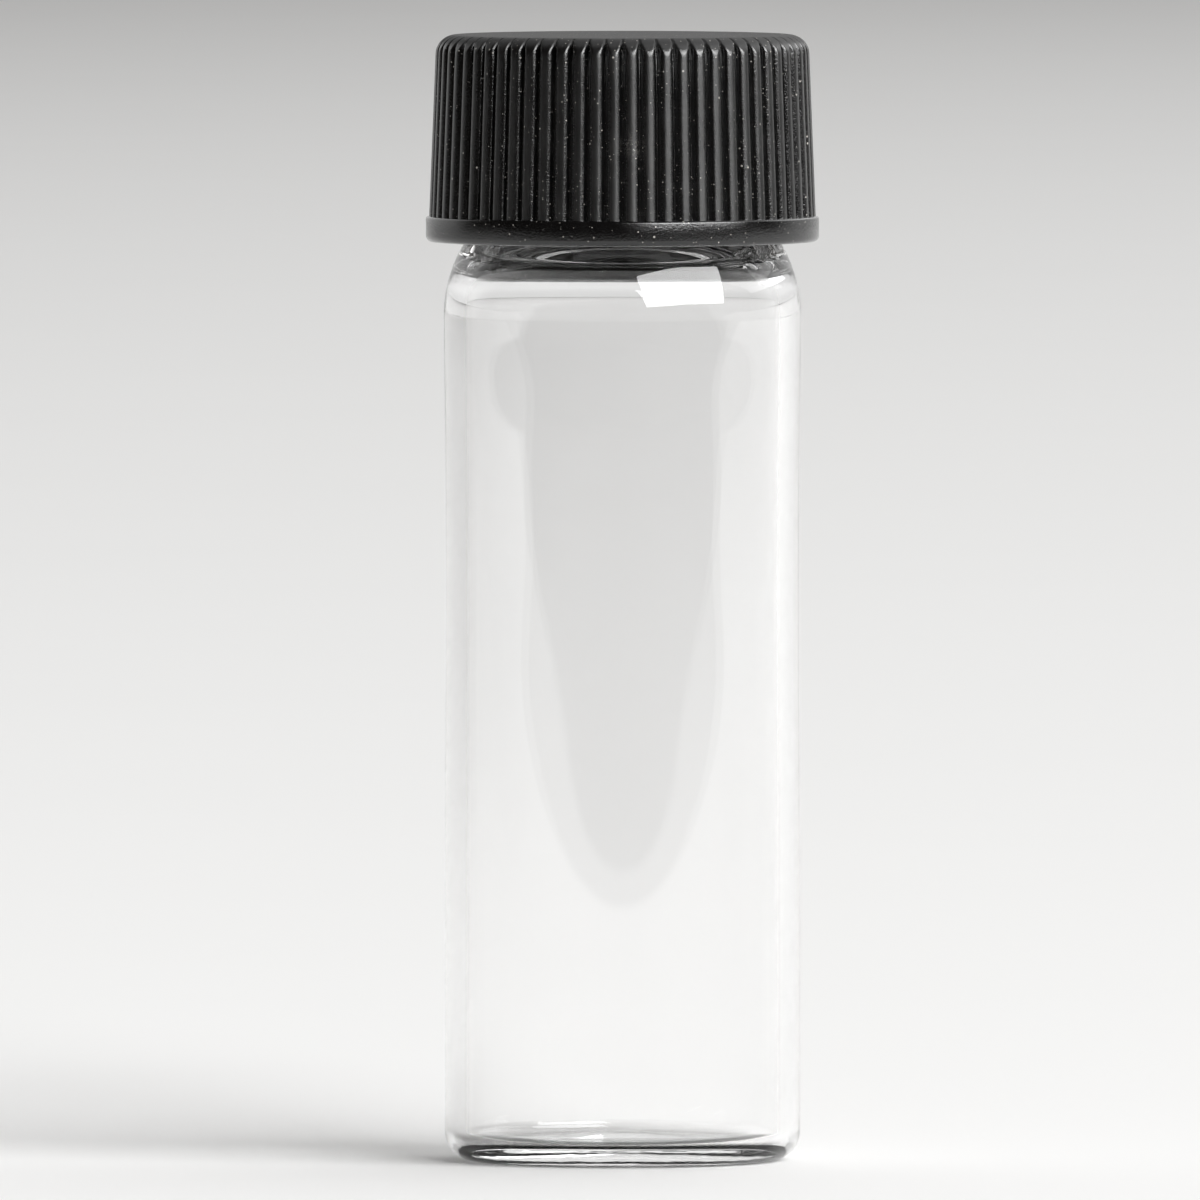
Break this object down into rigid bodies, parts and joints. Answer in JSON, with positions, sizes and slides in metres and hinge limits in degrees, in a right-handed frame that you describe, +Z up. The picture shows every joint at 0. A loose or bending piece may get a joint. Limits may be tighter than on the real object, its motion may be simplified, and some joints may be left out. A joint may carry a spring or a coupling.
{
  "type": "screw-cap glass sample vial",
  "caption": "Small clear glass sample vial with a rounded shoulder and threaded neck, closed by a ribbed black screw cap with a sealing liner.",
  "frame": {"origin": "centre of the foot ring, on the surface that the vial stands on", "axes": "+Z up the vial's axis from the foot to the cap, X and Y any two directions across it"},
  "size_m": [0.0162, 0.0162, 0.0466],
  "materials": {
    "clear_glass": "clear, fire polished",
    "black_cap": "moulded, semi-gloss with fine texture",
    "liner": "smooth dark rubber sheet"
  },
  "bodies": {
    "vial": {"vial": "clear_glass"},
    "liner": {"liner": "liner"},
    "cap": {"cap": "black_cap"}
  },
  "joints": [
    {"name": "cap_lift", "type": "slide", "parent": "vial", "child": "liner", "axis": [0, 0, 1], "range_m": [0, 0.0106]},
    {"name": "cap_turn", "type": "hinge", "parent": "liner", "child": "cap", "pos_m": [0, 0, 0.045], "axis": [0, 0, 1], "range_deg": [0, 1800]}
  ],
  "couplings": [
    {"joint": "cap_turn", "follows": "cap_lift", "rad_per_m": 2963.8}
  ]
}
